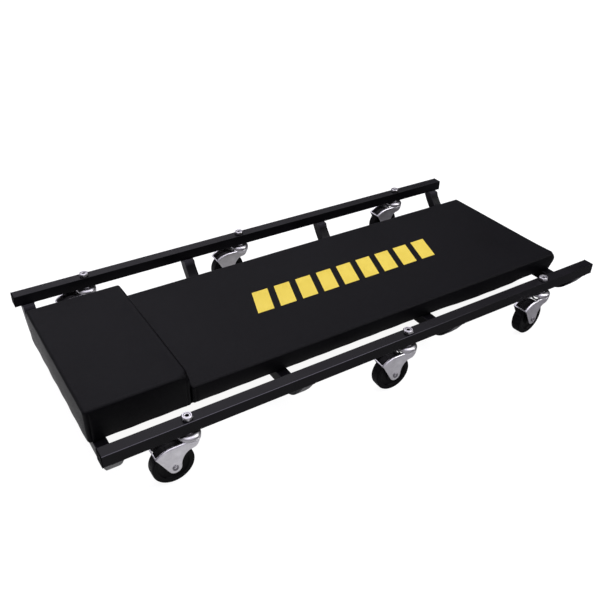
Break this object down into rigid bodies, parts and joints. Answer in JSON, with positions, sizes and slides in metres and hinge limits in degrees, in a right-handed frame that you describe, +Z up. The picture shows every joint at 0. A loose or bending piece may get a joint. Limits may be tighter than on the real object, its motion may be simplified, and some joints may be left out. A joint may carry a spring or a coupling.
{
  "type": "mechanics creeper",
  "caption": "Low rolling creeper: a black padded board with a raised headrest on a square-tube frame with swivel casters along both side rails.",
  "frame": {"origin": "on the floor under the middle of the frame", "axes": "+X from the headrest to the foot end, +Y from the near rail to the far rail, +Z up"},
  "size_m": [0.9144, 0.4463, 0.1045],
  "materials": {
    "powder_coat": "semi-gloss black powder coat",
    "vinyl": "black upholstery vinyl over foam",
    "plywood": "plain plywood",
    "zinc": "bright zinc plate",
    "chrome": "polished plate",
    "tyre": "hard black rubber",
    "nylon": "matt black moulding",
    "plug": "satin black moulding",
    "steel": "plain steel"
  },
  "bodies": {
    "frame": {"rail_near": "powder_coat", "rail_far": "powder_coat", "end_plug_near_head": "plug", "end_plug_near_foot": "plug", "end_plug_far_head": "plug", "end_plug_far_foot": "plug", "cross_member_1": "powder_coat", "cross_member_2": "powder_coat", "cross_member_3": "powder_coat", "cross_member_4": "powder_coat", "base_board": "plywood", "main_cushion": "vinyl", "headrest_cushion": "vinyl", "pad_screw_head_near": "steel", "pad_screw_head_far": "steel", "pad_screw_foot_near": "steel", "pad_screw_foot_far": "steel", "lock_nut_near_head": "zinc", "kingpin_near_head": "zinc", "race_cap_near_head": "chrome", "lock_nut_near_middle": "zinc", "kingpin_near_middle": "zinc", "race_cap_near_middle": "chrome", "lock_nut_near_foot": "zinc", "kingpin_near_foot": "zinc", "race_cap_near_foot": "chrome", "lock_nut_far_head": "zinc", "kingpin_far_head": "zinc", "race_cap_far_head": "chrome", "lock_nut_far_middle": "zinc", "kingpin_far_middle": "zinc", "race_cap_far_middle": "chrome", "lock_nut_far_foot": "zinc", "kingpin_far_foot": "zinc", "race_cap_far_foot": "chrome"},
    "swivel_near_head": {"fork_near_head": "zinc", "axle_near_head": "steel"},
    "wheel_near_head": {"wheel_hub_near_head": "nylon", "tyre_near_head": "tyre"},
    "swivel_near_middle": {"fork_near_middle": "zinc", "axle_near_middle": "steel"},
    "wheel_near_middle": {"wheel_hub_near_middle": "nylon", "tyre_near_middle": "tyre"},
    "swivel_near_foot": {"fork_near_foot": "zinc", "axle_near_foot": "steel"},
    "wheel_near_foot": {"wheel_hub_near_foot": "nylon", "tyre_near_foot": "tyre"},
    "swivel_far_head": {"fork_far_head": "zinc", "axle_far_head": "steel"},
    "wheel_far_head": {"wheel_hub_far_head": "nylon", "tyre_far_head": "tyre"},
    "swivel_far_middle": {"fork_far_middle": "zinc", "axle_far_middle": "steel"},
    "wheel_far_middle": {"wheel_hub_far_middle": "nylon", "tyre_far_middle": "tyre"},
    "swivel_far_foot": {"fork_far_foot": "zinc", "axle_far_foot": "steel"},
    "wheel_far_foot": {"wheel_hub_far_foot": "nylon", "tyre_far_foot": "tyre"}
  },
  "joints": [
    {"name": "swivel_near_head_turn", "type": "hinge", "parent": "frame", "child": "swivel_near_head", "pos_m": [-0.337, -0.205, 0.07], "axis": [0, 0, 1], "continuous": true},
    {"name": "wheel_near_head_spin", "type": "hinge", "parent": "swivel_near_head", "child": "wheel_near_head", "pos_m": [-0.364, -0.20467, 0.03073], "axis": [0.0122, 0.9999, 0], "continuous": true},
    {"name": "swivel_near_middle_turn", "type": "hinge", "parent": "frame", "child": "swivel_near_middle", "pos_m": [0.035, -0.205, 0.07], "axis": [0, 0, 1], "continuous": true},
    {"name": "wheel_near_middle_spin", "type": "hinge", "parent": "swivel_near_middle", "child": "wheel_near_middle", "pos_m": [0.00801, -0.20415, 0.03073], "axis": [0.0314, 0.9995, 0], "continuous": true},
    {"name": "swivel_near_foot_turn", "type": "hinge", "parent": "frame", "child": "swivel_near_foot", "pos_m": [0.337, -0.205, 0.07], "axis": [0, 0, 1], "continuous": true},
    {"name": "wheel_near_foot_spin", "type": "hinge", "parent": "swivel_near_foot", "child": "wheel_near_foot", "pos_m": [0.31015, -0.20787, 0.03073], "axis": [-0.1063, 0.9943, 0], "continuous": true},
    {"name": "swivel_far_head_turn", "type": "hinge", "parent": "frame", "child": "swivel_far_head", "pos_m": [-0.337, 0.205, 0.07], "axis": [0, 0, 1], "continuous": true},
    {"name": "wheel_far_head_spin", "type": "hinge", "parent": "swivel_far_head", "child": "wheel_far_head", "pos_m": [-0.364, 0.20453, 0.03073], "axis": [-0.0175, 0.9998, 0], "continuous": true},
    {"name": "swivel_far_middle_turn", "type": "hinge", "parent": "frame", "child": "swivel_far_middle", "pos_m": [-0.0385, 0.205, 0.07], "axis": [0, 0, 1], "continuous": true},
    {"name": "wheel_far_middle_spin", "type": "hinge", "parent": "swivel_far_middle", "child": "wheel_far_middle", "pos_m": [-0.06549, 0.20571, 0.03073], "axis": [0.0262, 0.9997, 0], "continuous": true},
    {"name": "swivel_far_foot_turn", "type": "hinge", "parent": "frame", "child": "swivel_far_foot", "pos_m": [0.337, 0.205, 0.07], "axis": [0, 0, 1], "continuous": true},
    {"name": "wheel_far_foot_spin", "type": "hinge", "parent": "swivel_far_foot", "child": "wheel_far_foot", "pos_m": [0.31002, 0.20406, 0.03073], "axis": [-0.0349, 0.9994, 0], "continuous": true}
  ]
}
